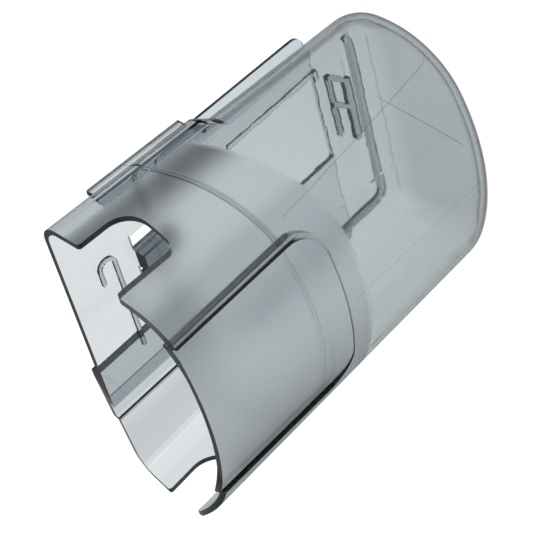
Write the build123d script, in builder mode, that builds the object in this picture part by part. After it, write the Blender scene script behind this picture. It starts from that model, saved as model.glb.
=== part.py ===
# Dust bin of a stick vacuum: one clear moulding, standing on its closed end with the mouth up.
# X runs across the bin, +Y points to the front panel, +Z points to the mouth.
import math
import os

from build123d import *

os.makedirs("parts", exist_ok=True)

# Body, all sizes in millimetres
rim_height = 143.0
wall = 2.2
rim_half_width = 62.5
base_half_width = 53.2
back_face = -28.4
rim_front = 31.6
base_front = 31.2
rim_front_corner = 40.0
base_front_corner = 36.0
front_corner_sweep = 70.0
back_corner = 8.2
base_back_corner = 17.0
knee_height = 75.0
neck_height = 80.0
foot_radius = 14.6

# Rim: ears beside the front panel, and the slanted relief of one rear corner
ear_height = 4.8
ear_front = 25.2
ear_tip = 1.2
rim_corner = 1.2
relief_drop = 2.8
relief_start = 20.0
relief_end = -9.9
spare_height = 1.0

# Front panel, set in from the skin, its closed end ramping up to a low step
panel_half_width = 35.5
panel_length = 63.5
panel_depth = 1.8
panel_corner = 12.0
panel_ramp = 8.0
panel_step = 0.4
panel_lead = 1.2

# Notches in both side walls
notch_back = -9.8
notch_front = 9.8
notch_depth = 20.7
notch_back_corner = 9.0
notch_front_corner = 3.0

# Thinned field in the back wall
field_left = -34.0
field_right = 7.4
field_low = 25.5
field_high = 98.0
field_corner = 2.0
field_depth = 0.9

# Hooked rib along one edge of the field
edge_rib_high = 69.0
edge_rib_hook = 4.0
edge_rib_width = 1.4
edge_rib_rise = 1.2

# Main rib round the field: a slanted stub, the foot bar and one long leg
frame_left = -37.1
frame_right = 38.8
frame_low = 9.2
frame_stub = 1.7
frame_high = 86.0
frame_corner = 5.0
rib_width = 2.4
rib_rise = 3.0

# Ladder catch between the field and the main rib, its foot rail shifted along
ladder_left = -29.3
ladder_length = 28.0
ladder_low = 12.2
ladder_high = 22.0
ladder_lean = 7.0
ladder_rung = -16.0
ladder_bar = 1.6
ladder_foot = 3.0
ladder_rise = 2.4

# Seal rib, latch hole, catch block and slit near the mouth
seal_left = -32.0
seal_right = 12.0
seal_height = 123.7
seal_hook = 6.5
seal_tail = 9.0
seal_corner = 3.0
seal_rise = 1.2
seal_width = 1.4
latch_left = -32.0
latch_right = -25.5
latch_low = 105.0
latch_high = 115.0
block_right = -18.0
block_low = 100.0
block_rise = 5.0
slit_width = 4.0

# Back plate, rail and groove at one rear corner
plate_foot_half = 50.0
plate_head_half = 52.2
plate_low = 25.0
plate_high = 96.0
plate_corner = 5.0
plate_rise = 0.8
rail_low = 81.0
rail_high = 122.5
rail_width = 2.6
rail_rise = 1.2
rail_root = 3.4
rail_from_side = 3.0
groove_low = 79.0
groove_high = 125.5
groove_width = 4.0
groove_from_back = 9.8
groove_depth = 1.2

# Channel in the back wall by the rim, with a pad outside it
pad_left = 10.0
pad_right = 36.0
pad_rise = 3.0
channel_left = 26.6
channel_right = 33.6
channel_low = 98.0
channel_depth = 2.4

# Seat ledge inside, tilted like the filter that rests on it
ledge_mid = 98.8
ledge_tilt = 15.0
ledge_thick = 1.2
ledge_rise = 0.7

inner_back = back_face + wall
taper = (rim_half_width - base_half_width) / rim_height
front_taper = (rim_front - base_front) / rim_height
corner_taper = (rim_front_corner - base_front_corner) / rim_height
blank_top = rim_height + ear_height + spare_height
panel_end = rim_height - panel_length
notch_floor = rim_height - notch_depth
fuse = 0.4
reach = 40.0


# Outer half width at one height
def half_width(height):
    return base_half_width + taper * height


# Section at one height: half the outline from the back centre to the front centre, then its mirror
def bin_section(height, corner_back, inset):
    sweep = math.radians(front_corner_sweep)
    side = half_width(height) - inset
    front = base_front + front_taper * height - inset
    corner_front = base_front_corner + corner_taper * height - inset
    heel_radius = corner_back - inset
    back = back_face + inset
    panel_edge = side - corner_front * (1.0 - math.cos(sweep))
    panel_radius = panel_edge / math.cos(sweep)
    shoulder = front - panel_radius * (1.0 - math.sin(sweep)) - corner_front * math.sin(sweep)
    with BuildSketch(Plane.XY.offset(max(height, inset))) as section:
        with BuildLine():
            rear = Line((0, back), (side - heel_radius, back))
            heel = JernArc(start=rear @ 1, tangent=(1, 0), radius=heel_radius, arc_size=90)
            flank = Line(heel @ 1, (side, shoulder))
            turn = JernArc(start=flank @ 1, tangent=(0, 1), radius=corner_front, arc_size=front_corner_sweep)
            JernArc(start=turn @ 1, tangent=turn % 1, radius=panel_radius, arc_size=90 - front_corner_sweep)
            mirror(about=Plane.YZ)
        make_face()
    return section.sketch


# Solid body whose skin lies inset from the outer skin
def bin_body(inset):
    base = bin_section(0.0, base_back_corner, inset)
    knee = bin_section(knee_height, base_back_corner, inset)
    neck = bin_section(neck_height, back_corner, inset)
    rim = bin_section(rim_height, back_corner, inset)
    with BuildPart() as body:
        loft([base, knee, neck, rim], ruled=True)
        extrude(body.faces().sort_by(Axis.Z)[-1], amount=ear_height + spare_height)
        fillet(body.faces().sort_by(Axis.Z)[0].edges(), radius=foot_radius - inset)
    return body.part


# Body behind the front panel: set in by the panel's depth, with the ramp at its closed end
def panel_floor(end, inset):
    low = bin_section(end, back_corner, inset + panel_step)
    high = bin_section(end + 2 * panel_ramp, back_corner, inset + 2 * panel_depth - panel_step)
    with BuildPart() as floor:
        add(bin_body(inset + panel_depth))
        loft([low, high], ruled=True)
    return floor.part


outer_body = bin_body(0.0)
inner_body = bin_body(wall)
outer_floor = panel_floor(panel_end, 0.0)
inner_floor = panel_floor(panel_end - panel_lead, wall)
ledge_outside = bin_body(wall - fuse)
ledge_inside = bin_body(wall + ledge_rise)

# What the front panel takes off the skin
with BuildPart() as panel_cut:
    with BuildSketch(Plane.XZ):
        with Locations((0, panel_end)):
            Rectangle(2 * panel_half_width, 2 * panel_length, align=(Align.CENTER, Align.MIN))
        fillet(vertices().group_by(Axis.Y)[0], radius=panel_corner)
    extrude(amount=-2 * reach)
    add(outer_floor, mode=Mode.SUBTRACT)

# What the front panel takes off the room inside
with BuildPart() as panel_lining:
    with BuildSketch(Plane.XZ):
        with Locations((0, panel_end - panel_lead)):
            Rectangle(2 * (panel_half_width + panel_lead), 2 * panel_length, align=(Align.CENTER, Align.MIN))
        fillet(vertices().group_by(Axis.Y)[0], radius=panel_corner + panel_lead)
    extrude(amount=-2 * reach)
    add(inner_floor, mode=Mode.SUBTRACT)

# Room inside the bin
with BuildPart() as cavity:
    add(inner_body)
    add(panel_lining.part, mode=Mode.SUBTRACT)

# Seat ledge, a thin tilted ring on the inside
with BuildPart() as ledge:
    add(ledge_outside)
    add(ledge_inside, mode=Mode.SUBTRACT)
    with BuildSketch(Plane.XY.offset(ledge_mid).rotated((-ledge_tilt, 0, 0))):
        Rectangle(4 * reach, 4 * reach)
    extrude(amount=ledge_thick, mode=Mode.INTERSECT)

with BuildPart() as dust_bin:
    add(outer_body)
    add(panel_cut.part, mode=Mode.SUBTRACT)

    # Back plate, its edges standing clear of the rounded rear corners
    with BuildSketch(Plane.XZ.offset(-back_face - fuse)):
        with BuildLine():
            Polyline(
                (-plate_foot_half, plate_low),
                (plate_foot_half, plate_low),
                (plate_head_half, plate_high),
                (-plate_head_half, plate_high),
                close=True,
            )
        make_face()
        fillet(vertices(), radius=plate_corner)
    extrude(amount=plate_rise + fuse)

    # Channel pad outside the back wall
    with BuildSketch(Plane.XZ.offset(-back_face - fuse)):
        with Locations((pad_left, channel_low)):
            Rectangle(pad_right - pad_left, blank_top - channel_low, align=Align.MIN)
    extrude(amount=pad_rise + fuse)

    # Rail along one rear corner, rooted in its round
    with BuildSketch(Plane.XZ.offset(-back_face - rail_root)):
        with BuildLine():
            rail_foot = rail_from_side - half_width(rail_low)
            rail_head = rail_from_side - half_width(rail_high)
            Polyline(
                (rail_foot, rail_low),
                (rail_head, rail_high),
                (rail_head + rail_width, rail_high),
                (rail_foot + rail_width, rail_low),
                close=True,
            )
        make_face()
        fillet(vertices(), radius=rail_width / 3)
    extrude(amount=rail_root + rail_rise)

    # Room inside
    add(cavity.part, mode=Mode.SUBTRACT)

    # Channel, open to the rim, cut from the inside into the pad
    with BuildSketch(Plane.XZ.offset(-inner_back - fuse)):
        with Locations((channel_left, channel_low + wall)):
            Rectangle(channel_right - channel_left, blank_top - channel_low, align=Align.MIN)
    extrude(amount=channel_depth + fuse, mode=Mode.SUBTRACT)

    # Seat ledge
    add(ledge.part)

    # Main rib round the field
    with BuildSketch(Plane.XZ.offset(-inner_back + fuse)):
        with BuildLine():
            FilletPolyline(
                (frame_left - frame_stub, frame_low + frame_stub),
                (frame_left, frame_low),
                (frame_right, frame_low),
                (frame_right, frame_high),
                radius=frame_corner,
            )
        trace(line_width=rib_width)
    extrude(amount=-(rib_rise + fuse))

    # Hooked rib along the field
    with BuildSketch(Plane.XZ.offset(-inner_back + fuse)):
        with BuildLine():
            Polyline(
                (field_left, edge_rib_high),
                (field_left, field_low),
                (field_left + edge_rib_hook, field_low),
            )
        trace(line_width=edge_rib_width)
    extrude(amount=-(edge_rib_rise + fuse))

    # Ladder catch: a broad foot rail, a slim head rail, a slanted rung and one closed end
    with BuildSketch(Plane.XZ.offset(-inner_back + fuse)):
        with Locations((ladder_left + ladder_lean, ladder_low)):
            Rectangle(ladder_length, ladder_foot, align=Align.MIN)
        with Locations((ladder_left, ladder_high - ladder_bar)):
            Rectangle(ladder_length, ladder_bar, align=Align.MIN)
        with BuildLine():
            rung_foot = ladder_low + ladder_foot / 2
            rung_head = ladder_high - ladder_bar / 2
            Line((ladder_left + ladder_bar / 2, rung_head), (ladder_left + ladder_lean + ladder_bar / 2, rung_foot))
            Line((ladder_rung, rung_head), (ladder_rung + ladder_lean, rung_foot))
        trace(line_width=ladder_bar)
    extrude(amount=-(ladder_rise + fuse))

    # Seal rib with its hooked end
    with BuildSketch(Plane.XZ.offset(-inner_back + fuse)):
        with BuildLine():
            FilletPolyline(
                (seal_right, seal_height),
                (seal_left, seal_height),
                (seal_left, seal_height + seal_hook),
                (seal_left + seal_tail, seal_height + seal_hook),
                radius=seal_corner,
            )
        trace(line_width=seal_width)
    extrude(amount=-(seal_rise + fuse))

    # Catch block beside the latch hole
    with BuildSketch(Plane.XZ.offset(-inner_back + fuse)):
        with Locations((latch_right, block_low)):
            Rectangle(block_right - latch_right, latch_high - block_low, align=Align.MIN)
    extrude(amount=-(block_rise + fuse))

    # Latch hole and slit, through the back wall on either side of the block
    with BuildSketch(Plane.XZ.offset(-inner_back - reach / 4)):
        with Locations((latch_left, latch_low)):
            Rectangle(latch_right - latch_left, latch_high - latch_low, align=Align.MIN)
        with Locations((block_right, block_low)):
            Rectangle(slit_width, latch_high - block_low, align=Align.MIN)
    extrude(amount=reach / 2, mode=Mode.SUBTRACT)

    # Thinned field, taken off the outside of the back wall
    with BuildSketch(Plane.XZ.offset(-back_face - field_depth)):
        with Locations(((field_left + field_right) / 2, (field_low + field_high) / 2)):
            RectangleRounded(field_right - field_left, field_high - field_low, field_corner)
    extrude(amount=reach / 4, mode=Mode.SUBTRACT)

    # Groove in one side wall, following its lean
    with BuildSketch(Plane.XZ.offset(-back_face - groove_from_back)):
        with BuildLine():
            groove_foot = groove_depth - half_width(groove_low)
            groove_head = groove_depth - half_width(groove_high)
            Polyline(
                (groove_foot, groove_low),
                (groove_foot - wall - groove_depth, groove_low),
                (groove_head - wall - groove_depth, groove_high),
                (groove_head, groove_high),
                close=True,
            )
        make_face()
    extrude(amount=groove_width / 2, both=True, mode=Mode.SUBTRACT)

    # Mouth, level at the back and front, with the notches and the ears that slope down to the panel
    with BuildSketch(Plane.YZ):
        with BuildLine():
            Polyline(
                (-2 * reach, rim_height),
                (notch_back, rim_height),
                (notch_back, notch_floor),
                (notch_front, notch_floor),
                (notch_front, rim_height + ear_height),
                (ear_front, rim_height),
                (2 * reach, rim_height),
                (2 * reach, 2 * rim_height),
                (-2 * reach, 2 * rim_height),
                close=True,
            )
        make_face()
        fillet(vertices().sort_by_distance((notch_back, rim_height))[0], radius=rim_corner)
        fillet(vertices().sort_by_distance((notch_back, notch_floor))[0], radius=notch_back_corner)
        fillet(vertices().sort_by_distance((notch_front, notch_floor))[0], radius=notch_front_corner)
        fillet(vertices().sort_by_distance((notch_front, rim_height + ear_height))[0], radius=ear_tip)
    extrude(amount=2 * reach, both=True, mode=Mode.SUBTRACT)

    # Relief of one rear corner, cut along a slanted plane
    slope_x = relief_drop / (rim_half_width - relief_start)
    slope_y = relief_drop / (relief_end - back_face)
    relief_origin = (relief_start, back_face, rim_height)
    with BuildSketch(Plane(origin=relief_origin, z_dir=(slope_x, -slope_y, 1))):
        Circle(4 * reach)
    extrude(amount=reach, mode=Mode.SUBTRACT)

dust_bin.part.label = "dust_bin"
export_step(dust_bin.part, "parts/dust_bin.step")
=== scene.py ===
import math

import bpy
from mathutils import Matrix, Vector

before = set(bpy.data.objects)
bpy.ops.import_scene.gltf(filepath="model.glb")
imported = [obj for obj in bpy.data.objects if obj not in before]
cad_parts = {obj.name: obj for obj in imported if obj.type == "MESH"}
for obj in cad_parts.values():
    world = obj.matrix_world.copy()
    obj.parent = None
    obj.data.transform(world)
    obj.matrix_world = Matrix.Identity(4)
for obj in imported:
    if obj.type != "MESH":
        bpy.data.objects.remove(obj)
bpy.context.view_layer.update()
scene = bpy.context.scene


# wraps one socket, so that maths on it reads as an expression
class Field:
    def __init__(self, net, socket):
        self.net = net
        self.socket = socket

    def math(self, operation, *others):
        return self.net.node("ShaderNodeMath", {"operation": operation}, dict(enumerate((self,) + others)))

    def __add__(self, other):
        return self.math("ADD", other)

    def __radd__(self, other):
        return self.math("ADD", other)

    def __sub__(self, other):
        return self.math("SUBTRACT", other)

    def __rsub__(self, other):
        return self.net.node("ShaderNodeMath", {"operation": "SUBTRACT"}, {0: other, 1: self})

    def __mul__(self, other):
        return self.math("MULTIPLY", other)

    def __rmul__(self, other):
        return self.math("MULTIPLY", other)

    def __neg__(self):
        return self.math("MULTIPLY", -1.0)

    def most(self, other):
        return self.math("MAXIMUM", other)

    def size(self):
        return self.math("ABSOLUTE")

    # 0 below low, 1 above high, smooth between
    def step(self, low, high):
        return self.net.node(
            "ShaderNodeMapRange",
            {"interpolation_type": "SMOOTHSTEP"},
            {"Value": self, "From Min": low, "From Max": high, "To Min": 0.0, "To Max": 1.0},
        )

    def above(self, edge):
        return self.math("GREATER_THAN", edge)

    def below(self, edge):
        return self.math("LESS_THAN", edge)

    # 1 within half of centre, 0 elsewhere
    def near(self, centre, half):
        return self.math("COMPARE", centre, half)

    def between(self, low, high):
        return self.near((low + high) / 2, (high - low) / 2)


# one material's node net
class Net:
    def __init__(self, name):
        self.material = bpy.data.materials.new(name)
        self.material.use_nodes = True
        self.tree = self.material.node_tree
        self.tree.nodes.clear()

    def node(self, kind, settings=None, values=None, out=0):
        made = self.tree.nodes.new(kind)
        for key, value in (settings or {}).items():
            setattr(made, key, value)
        for key, value in (values or {}).items():
            if isinstance(value, Field):
                self.tree.links.new(value.socket, made.inputs[key])
            else:
                made.inputs[key].default_value = value
        return Field(self, made.outputs[out]) if len(made.outputs) else None

    # three numbers of one vector socket
    def parts(self, vector):
        split = self.node("ShaderNodeSeparateXYZ", None, {0: vector}).socket.node
        return [Field(self, split.outputs[index]) for index in range(3)]

    def noise(self, vector, scale, detail, rough):
        return self.node(
            "ShaderNodeTexNoise",
            None,
            {"Vector": vector, "Scale": scale, "Detail": detail, "Roughness": rough},
        )

    # colour going from first to second as share goes from 0 to 1
    def blend(self, share, first, second):
        ends = {0: share, 6: first, 7: second}
        return self.node("ShaderNodeMix", {"data_type": "RGBA"}, ends, out=2)

    def finish(self, shader, volume=None):
        ends = {"Surface": shader}
        if volume:
            ends["Volume"] = volume
        self.node("ShaderNodeOutputMaterial", None, ends)
        return self.material


# where a point of the bin's skin lies and which way it faces
class Skin:
    def __init__(self, net):
        self.net = net
        self.place = net.node("ShaderNodeTexCoord", out="Object")
        self.x, self.y, self.z = net.parts(self.place)
        self.normalX, _, self.normalZ = net.parts(net.node("ShaderNodeTexCoord", out="Normal"))
        self.wide = self.x.size()


# frost lies on the sides above a leaning plane, z > base - lean * y; painted shade darkens it towards one
# rear corner
frostSkin = {
    "base": 0.0828,
    "lean": 0.43,
    "soft": 0.0004,
    "back": -0.0165,
    "backSoft": 0.0008,
    "shade": (0.22, 0.225, 0.24, 1.0),
    "shadeRise": (-0.021, -0.0105),
    "shadeFall": (-0.009, 0.004),
    "shadeSide": (0.047, 0.053),
    "shadeShare": 0.85,
    "rear": (0.76, 0.75, 0.78, 1.0),
    "rearRise": (-0.0283, -0.0273),
    "rearFall": (-0.015, -0.0126),
    "rearSide": -0.042,
}


def makeFrost(skin):
    leaning = skin.z + skin.y * frostSkin["lean"] - frostSkin["base"]
    back = frostSkin["back"]
    soft = frostSkin["backSoft"]
    frost = leaning.step(-frostSkin["soft"], frostSkin["soft"]) * skin.y.step(back - soft, back + soft)
    return leaning, frost


# painted shade: the frosted sides are painted darker towards the near rear corner, and so is the clear skin
# below it
def shadeRear(skin, colour, leaning, frost):
    rise = skin.y.step(*frostSkin["shadeRise"])
    fall = 1.0 - skin.y.step(*frostSkin["shadeFall"])
    shade = frost * rise * fall * (-skin.x).step(*frostSkin["shadeSide"])
    colour = skin.net.blend(shade * frostSkin["shadeShare"], colour, frostSkin["shade"])
    band = skin.y.step(*frostSkin["rearRise"]) * (1.0 - skin.y.step(*frostSkin["rearFall"]))
    clear = band * leaning.below(0.0) * skin.x.below(frostSkin["rearSide"])
    return skin.net.blend(clear, colour, frostSkin["rear"])


# colours of the painted shade on the rear corner's groove, rail and lip
rearCorner = {
    "side": -0.05,
    "groove": (0.34, 0.40, 0.43, 1.0),
    "grooveSkin": (-0.0208, -0.0164),
    "grooveRun": (0.0789, 0.1256),
    "rail": (0.46, 0.45, 0.47, 1.0),
    "railBack": -0.0286,
    "railRun": (0.0808, 0.1227),
    "lip": (0.70, 0.77, 0.79, 1.0),
    "lipBack": -0.0279,
    "lipSide": 0.04,
    "lipRun": (0.0248, 0.0785),
}


# painted shade on the groove and rail at one rear corner, and on the thin lip of the back plate
def paintCornerShade(skin, colour):
    atCorner = skin.x.below(rearCorner["side"])
    groove = atCorner * skin.y.between(*rearCorner["grooveSkin"]) * skin.z.between(*rearCorner["grooveRun"])
    colour = skin.net.blend(groove, colour, rearCorner["groove"])
    rail = atCorner * skin.y.below(rearCorner["railBack"]) * skin.z.between(*rearCorner["railRun"])
    colour = skin.net.blend(rail, colour, rearCorner["rail"])
    lip = skin.y.below(rearCorner["lipBack"]) * skin.wide.above(rearCorner["lipSide"])
    return skin.net.blend(lip * skin.z.between(*rearCorner["lipRun"]), colour, rearCorner["lip"])


# colours of the painted shade on the back wall
backWall = {
    "field": (0.80, 0.82, 0.83, 1.0),
    "fieldSkin": (-0.0277, -0.0273),
    "fieldSpan": (-0.034, 0.0074),
    "fieldRun": (0.0255, 0.098),
    "mouth": (0.74, 0.755, 0.765, 1.0),
    "mouthBack": -0.0245,
    "mouthRise": (0.097, 0.103),
    "mouthSpan": (0.0265, 0.045),
    "channel": (0.42, 0.50, 0.53, 1.0),
    "channelFoot": 0.1,
    "floorSkin": (-0.0289, -0.0283),
    "floorSpan": (0.0265, 0.0302),
    "wallAt": (-0.0262, 0.0002),
    "wallSpan": (0.0212, 0.0266),
    "edge": (0.05, 0.055, 0.06, 1.0),
    "edgeAt": (0.0209, 0.0003),
}


# painted shade on the thinned field, on the part by the mouth, and on the channel with its dark edge
def paintBackWallShade(skin, colour):
    field = skin.y.between(*backWall["fieldSkin"]) * skin.x.between(*backWall["fieldSpan"])
    colour = skin.net.blend(field * skin.z.between(*backWall["fieldRun"]), colour, backWall["field"])
    mouth = skin.y.below(backWall["mouthBack"]) * skin.z.step(*backWall["mouthRise"])
    colour = skin.net.blend(mouth * skin.x.step(*backWall["mouthSpan"]), colour, backWall["mouth"])
    highUp = skin.z.above(backWall["channelFoot"])
    floor = skin.y.between(*backWall["floorSkin"]) * skin.x.between(*backWall["floorSpan"])
    wall = skin.y.near(*backWall["wallAt"])
    channel = floor.most(wall * skin.x.between(*backWall["wallSpan"])) * highUp
    colour = skin.net.blend(channel, colour, backWall["channel"])
    return skin.net.blend(wall * skin.x.near(*backWall["edgeAt"]) * highUp, colour, backWall["edge"])


# colours of the painted shade on the ribs and blocks inside the back wall
ribWork = {
    "skin": (-0.0261, -0.0205),
    "rib": (0.50, 0.56, 0.58, 1.0),
    "footBarAt": (0.0092, 0.0013),
    "footBarSide": 0.0405,
    "longLegAt": (0.0388, 0.0013),
    "longLegRun": (0.008, 0.0865),
    "sealRun": (0.1227, 0.1312),
    "sealSpan": (-0.0335, 0.0125),
    "ladder": (0.68, 0.73, 0.75, 1.0),
    "ladderRun": (0.0121, 0.0221),
    "ladderSpan": (-0.0296, 0.006),
    "block": (0.20, 0.25, 0.26, 1.0),
    "blockSpan": (-0.0256, -0.0179),
    "blockRun": (0.0999, 0.1151),
}


# painted shade on the ribs, ladder, catch block and seal on the inside of the back wall
def paintRibShade(skin, colour):
    inside = skin.y.between(*ribWork["skin"])
    footBar = skin.z.near(*ribWork["footBarAt"]) * skin.wide.below(ribWork["footBarSide"])
    longLeg = skin.x.near(*ribWork["longLegAt"]) * skin.z.between(*ribWork["longLegRun"])
    seal = skin.z.between(*ribWork["sealRun"]) * skin.x.between(*ribWork["sealSpan"])
    colour = skin.net.blend(inside * footBar.most(longLeg).most(seal), colour, ribWork["rib"])
    ladder = skin.z.between(*ribWork["ladderRun"]) * skin.x.between(*ribWork["ladderSpan"])
    colour = skin.net.blend(inside * ladder, colour, ribWork["ladder"])
    block = skin.x.between(*ribWork["blockSpan"]) * skin.z.between(*ribWork["blockRun"])
    return skin.net.blend(inside * block, colour, ribWork["block"])


# colour and places of the painted shade lines at the mould seams and the seat ledge
mouldLineShade = {
    "line": (0.60, 0.62, 0.64, 1.0),
    "partLean": 0.0384,
    "partAt": (-0.04643, 0.00018),
    "partRun": (0.008, 0.088),
    "partFront": 0.01,
    "partFrontLean": 0.1037,
    "midHalf": 0.00016,
    "midRun": (0.0115, 0.0755),
    "midFront": 0.0301,
    "slantLean": 0.649,
    "slantAt": (0.00252, 0.0002),
    "slantSpan": (-0.0465, -0.018),
    "slantFront": 0.008,
    "footAt": (0.0041, 0.0002),
    "footSkin": (-0.0225, -0.0185),
    "footSide": 0.037,
    "ledgeLean": 0.268,
    "ledgeAt": (0.0994, 0.0003),
}


# painted shade: fine dark lines at the mould seams on the outer skin, and the dark line of the seat ledge
def paintMouldLineShade(skin, colour):
    part = (skin.x - skin.z * mouldLineShade["partLean"]).near(*mouldLineShade["partAt"])
    part = part * skin.z.between(*mouldLineShade["partRun"])
    part = part * (skin.y - skin.z * mouldLineShade["partFrontLean"]).above(mouldLineShade["partFront"])
    mid = skin.wide.below(mouldLineShade["midHalf"]) * skin.z.between(*mouldLineShade["midRun"])
    mid = mid * skin.y.above(mouldLineShade["midFront"])
    slant = (skin.z + skin.x * mouldLineShade["slantLean"]).near(*mouldLineShade["slantAt"])
    slant = slant * skin.x.between(*mouldLineShade["slantSpan"]) * skin.y.above(mouldLineShade["slantFront"])
    foot = skin.z.near(*mouldLineShade["footAt"]) * skin.y.between(*mouldLineShade["footSkin"])
    foot = foot * skin.wide.below(mouldLineShade["footSide"])
    ledge = (skin.z + skin.y * mouldLineShade["ledgeLean"]).near(*mouldLineShade["ledgeAt"])
    return skin.net.blend(part.most(mid).most(slant).most(foot).most(ledge), colour, mouldLineShade["line"])


# colours of the painted shade on the panel steps, cut edges and turned-away glass
darkEdges = {
    "step": (0.0012, 0.0013, 0.0015, 1.0),
    "stepLeft": (-0.0366, -0.0349),
    "stepRight": (0.0351, 0.0357),
    "stepHead": (0.0865, 0.0895),
    "stepFront": 0.012,
    "cut": (0.05, 0.055, 0.06, 1.0),
    "levelFacing": 0.85,
    "levelHeight": 0.1375,
    "levelFront": -0.0135,
    "levelShare": 0.5,
    "sideFacing": 0.05,
    "sideReach": 0.045,
    "sideHeight": 0.1205,
    "sideSkin": (-0.0125, 0.0265),
    "sideGap": (0.0098, 0.0003),
    "turned": (0.20, 0.205, 0.22, 1.0),
    "facingBlend": 0.5,
    "turnRange": (0.66, 0.96),
    "turnShare": 0.8,
    "turnFrost": 0.7,
    "closedEnd": (0.05, 0.05, 0.058, 1.0),
    "endRange": (0.6, 0.8),
    "endShare": 0.95,
    "endRise": (0.01, 0.022),
}


# painted shade: the panel's side steps and the cut edges of the mouth are painted nearly black
def darkenCuts(skin, colour):
    step = skin.x.between(*darkEdges["stepLeft"]).most(skin.x.between(*darkEdges["stepRight"]))
    step = step * skin.z.step(*darkEdges["stepHead"]) * skin.y.above(darkEdges["stepFront"])
    colour = skin.net.blend(step, colour, darkEdges["step"])
    share = darkEdges["levelShare"]
    level = skin.normalZ.above(darkEdges["levelFacing"]) * skin.z.above(darkEdges["levelHeight"])
    level = level * (share + skin.y.above(darkEdges["levelFront"]) * (1.0 - share))
    side = skin.normalX.size().below(darkEdges["sideFacing"]) * skin.wide.above(darkEdges["sideReach"])
    side = side * skin.z.above(darkEdges["sideHeight"]) * skin.y.between(*darkEdges["sideSkin"])
    side = side * (1.0 - skin.y.near(*darkEdges["sideGap"]))
    return skin.net.blend(level.most(side), colour, darkEdges["cut"])


# painted shade: the glass is painted dark where it turns away, most of all round the closed end
def darkenTurned(skin, colour, frost):
    turned = skin.net.node("ShaderNodeLayerWeight", None, {"Blend": darkEdges["facingBlend"]}, out="Facing")
    share = darkEdges["turnShare"] - frost * darkEdges["turnFrost"]
    colour = skin.net.blend(turned.step(*darkEdges["turnRange"]) * share, colour, darkEdges["turned"])
    share = darkEdges["endShare"] - skin.z.step(*darkEdges["endRise"]) * darkEdges["endShare"]
    return skin.net.blend(turned.step(*darkEdges["endRange"]) * share, colour, darkEdges["closedEnd"])


clearSmoke = {
    "tint": (0.97, 0.98, 0.985, 1.0),
    "tintDeep": (0.95, 0.965, 0.972, 1.0),
    "cloudScale": 45.0,
    "grainScale": 2600.0,
    "streakScale": (240.0, 240.0, 14.0),
    "noiseRough": 0.55,
    "grainRelief": 0.4,
    "bumpStrength": 0.1,
    "bumpDistance": 0.00008,
    "clearRough": 0.03,
    "frostRough": 0.25,
    "frostGrain": 0.08,
    "ior": 1.42,
    "absorb": (0.525, 0.575, 0.592, 1.0),
    "density": 340.0,
}


def makeClearSmoke():
    net = Net("clearSmoke")
    skin = Skin(net)
    leaning, frost = makeFrost(skin)
    noiseRough = clearSmoke["noiseRough"]
    grain = net.noise(skin.place, clearSmoke["grainScale"], 1.0, noiseRough)
    cloud = net.noise(skin.place, clearSmoke["cloudScale"], 1.0, noiseRough)
    longWay = net.node("ShaderNodeMapping", None, {"Vector": skin.place, "Scale": clearSmoke["streakScale"]})
    streak = net.noise(longWay, 1.0, 0.0, noiseRough)

    # faint smoky clouding over the whole moulding, then the painted shade on its features
    colour = net.blend(cloud, clearSmoke["tint"], clearSmoke["tintDeep"])
    colour = shadeRear(skin, colour, leaning, frost)
    colour = paintCornerShade(skin, colour)
    colour = paintBackWallShade(skin, colour)
    colour = paintRibShade(skin, colour)
    colour = paintMouldLineShade(skin, colour)
    colour = darkenCuts(skin, colour)
    colour = darkenTurned(skin, colour, frost)

    clearRough = clearSmoke["clearRough"]
    rough = frost * (clearSmoke["frostRough"] - clearRough + grain * clearSmoke["frostGrain"]) + clearRough
    relief = grain * clearSmoke["grainRelief"] + streak
    bump = net.node(
        "ShaderNodeBump",
        None,
        {"Strength": clearSmoke["bumpStrength"], "Distance": clearSmoke["bumpDistance"], "Height": relief},
    )
    glass = net.node(
        "ShaderNodeBsdfPrincipled",
        None,
        {
            "Base Color": colour,
            "Roughness": rough,
            "Normal": bump,
            "Transmission Weight": 1.0,
            "IOR": clearSmoke["ior"],
        },
    )
    depth = net.node(
        "ShaderNodeVolumeAbsorption", None, {"Color": clearSmoke["absorb"], "Density": clearSmoke["density"]}
    )
    return net.finish(glass, depth)


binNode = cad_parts["dust_bin"]
binNode.data.materials.clear()
binNode.data.materials.append(makeClearSmoke())
print("bin dressed")

floorSheet = {
    "size": 6.0,
    "drop": 0.0002,
    "colour": (0.3, 0.3, 0.3, 1.0),
    "rough": 0.9,
    "shine": 0.1,
    "glow": 0.97,
    "mirrorGlow": 0.4,
}


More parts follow.
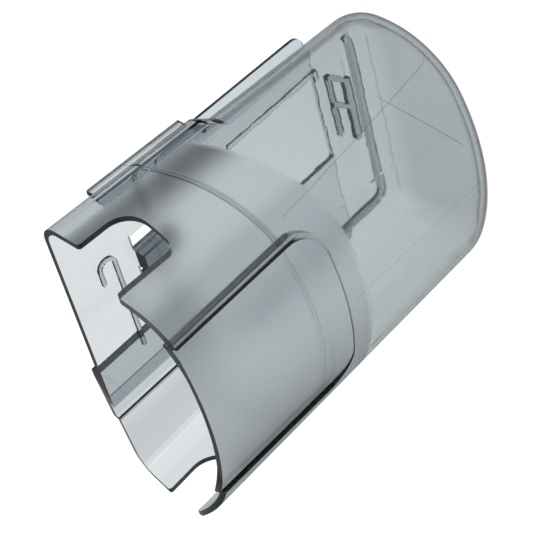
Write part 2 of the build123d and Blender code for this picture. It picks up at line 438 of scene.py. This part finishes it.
# a pale sheet that glows less in mirrored rays, so that the gloss on the bin stays soft
def makeFloor():
    half = floorSheet["size"] / 2
    mesh = bpy.data.meshes.new("floorSheet")
    low = -floorSheet["drop"]
    corners = [(-half, -half, low), (half, -half, low), (half, half, low), (-half, half, low)]
    mesh.from_pydata(corners, [], [(0, 1, 2, 3)])
    floor = bpy.data.objects.new("floorSheet", mesh)
    scene.collection.objects.link(floor)
    net = Net("paleFloor")
    sheets = [
        net.node(
            "ShaderNodeBsdfPrincipled",
            None,
            {
                "Base Color": floorSheet["colour"],
                "Roughness": floorSheet["rough"],
                "Specular IOR Level": floorSheet["shine"],
                "Emission Color": (1.0, 1.0, 1.0, 1.0),
                "Emission Strength": floorSheet[glow],
            },
        )
        for glow in ("glow", "mirrorGlow")
    ]
    mirrored = net.node("ShaderNodeLightPath", out="Is Reflection Ray")
    both = net.node("ShaderNodeMixShader", None, {0: mirrored, 1: sheets[0], 2: sheets[1]})
    mesh.materials.append(net.finish(both))


makeFloor()

photoCamera = {
    "eye": (-0.5235, 0.4268, 0.3801),
    "right": (0.200, 0.710, -0.675),
    "up": (-0.679, -0.396, -0.618),
    "fov": 13.755,
    "farClip": 50,
}


def makeCamera():
    right = Vector(photoCamera["right"]).normalized()
    up = Vector(photoCamera["up"])
    back = right.cross(up).normalized()
    up = back.cross(right)
    camera = bpy.data.cameras.new("photoCamera")
    camera.sensor_fit = "HORIZONTAL"
    camera.angle = math.radians(photoCamera["fov"])
    camera.clip_end = photoCamera["farClip"]
    holder = bpy.data.objects.new("photoCamera", camera)
    turn = Matrix((right, up, back)).transposed().to_4x4()
    holder.matrix_world = Matrix.Translation(photoCamera["eye"]) @ turn
    scene.collection.objects.link(holder)
    scene.camera = holder


makeCamera()

studio = {
    "world": 0.35,
    "bounces": 18,
    "glassBounces": 16,
    "lamps": [
        {"name": "topSoft", "at": (0.2, 0.4, 1.4), "aim": (0, 0, 0.05), "size": 1.6, "power": 6.0},
        {"name": "sideSoft", "at": (-1.2, -0.7, 0.9), "aim": (0, 0, 0.07), "size": 0.9, "power": 3.0},
    ],
}


def makeStudio():
    world = bpy.data.worlds.new("studioWorld")
    world.use_nodes = True
    world.node_tree.nodes["Background"].inputs["Color"].default_value = (1.0, 1.0, 1.0, 1.0)
    world.node_tree.nodes["Background"].inputs["Strength"].default_value = studio["world"]
    scene.world = world
    for lamp in studio["lamps"]:
        light = bpy.data.lights.new(lamp["name"], "AREA")
        light.shape = "DISK"
        light.size = lamp["size"]
        light.energy = lamp["power"]
        holder = bpy.data.objects.new(lamp["name"], light)
        holder.location = lamp["at"]
        aim = Vector(lamp["aim"]) - Vector(lamp["at"])
        holder.rotation_euler = aim.to_track_quat("-Z", "Y").to_euler()
        scene.collection.objects.link(holder)
    scene.view_settings.view_transform = "Standard"
    scene.cycles.max_bounces = studio["bounces"]
    scene.cycles.transmission_bounces = studio["glassBounces"]


makeStudio()
print("stage lit")
